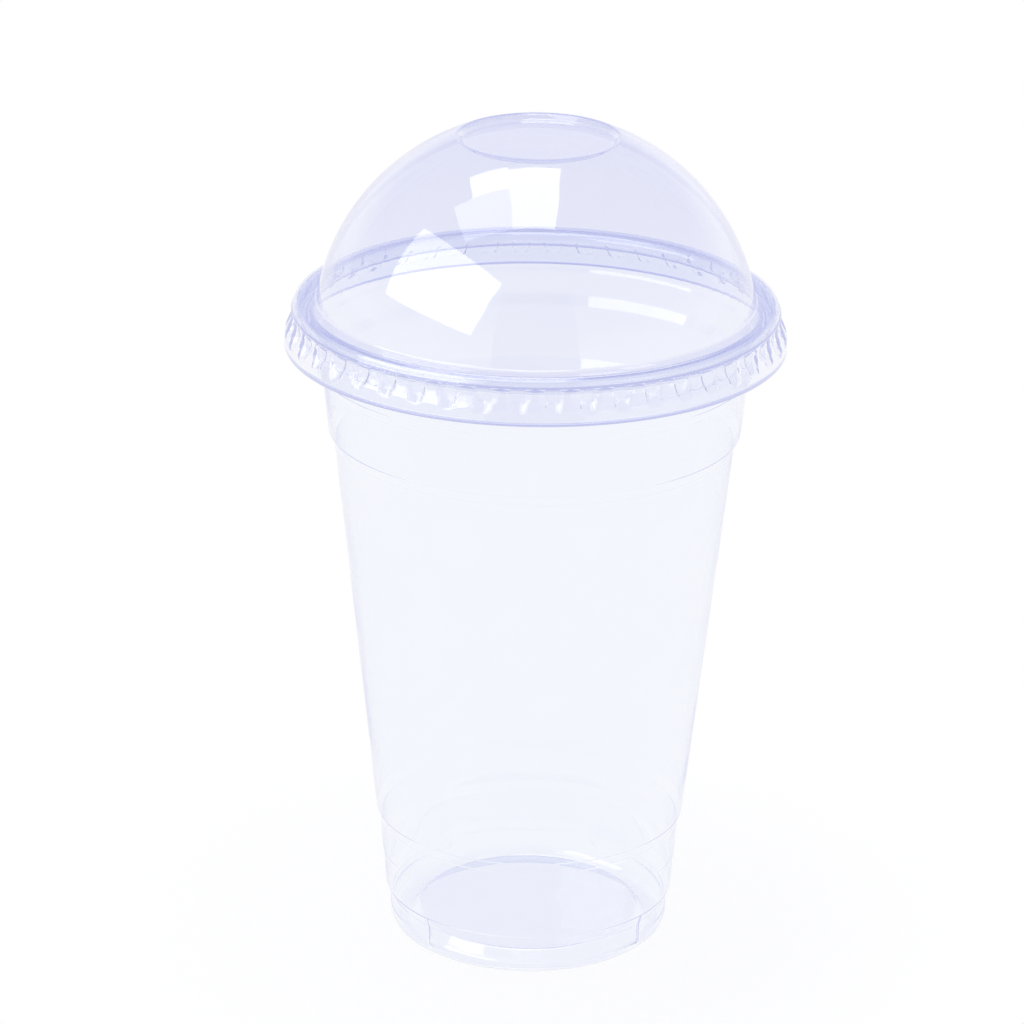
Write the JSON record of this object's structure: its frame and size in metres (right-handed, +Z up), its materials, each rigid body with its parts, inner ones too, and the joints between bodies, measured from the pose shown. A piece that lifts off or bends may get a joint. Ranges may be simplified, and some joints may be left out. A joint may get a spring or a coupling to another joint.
{
  "type": "plastic cup with lid",
  "caption": "Clear tapered cold-drink cup with a rolled rim, stepped bands and raised bottom, closed by a clear domed lid with a fluted skirt.",
  "frame": {"origin": "middle of the ring that the cup stands on, at the level of the table", "axes": "+Z up along the axis of the cup; -Y is the front that the picture shows; +X is to the right in the picture"},
  "size_m": [0.103, 0.103, 0.174],
  "materials": {
    "cup_clear_pet": "gloss",
    "lid_clear_pet": "gloss"
  },
  "bodies": {
    "cup": {"cup": "cup_clear_pet"},
    "lid": {"dome_lid": "lid_clear_pet"}
  },
  "joints": [
    {"name": "lid_lift", "type": "slide", "parent": "cup", "child": "lid", "axis": [0, 0, 1], "range_m": [0, 0.06]}
  ]
}
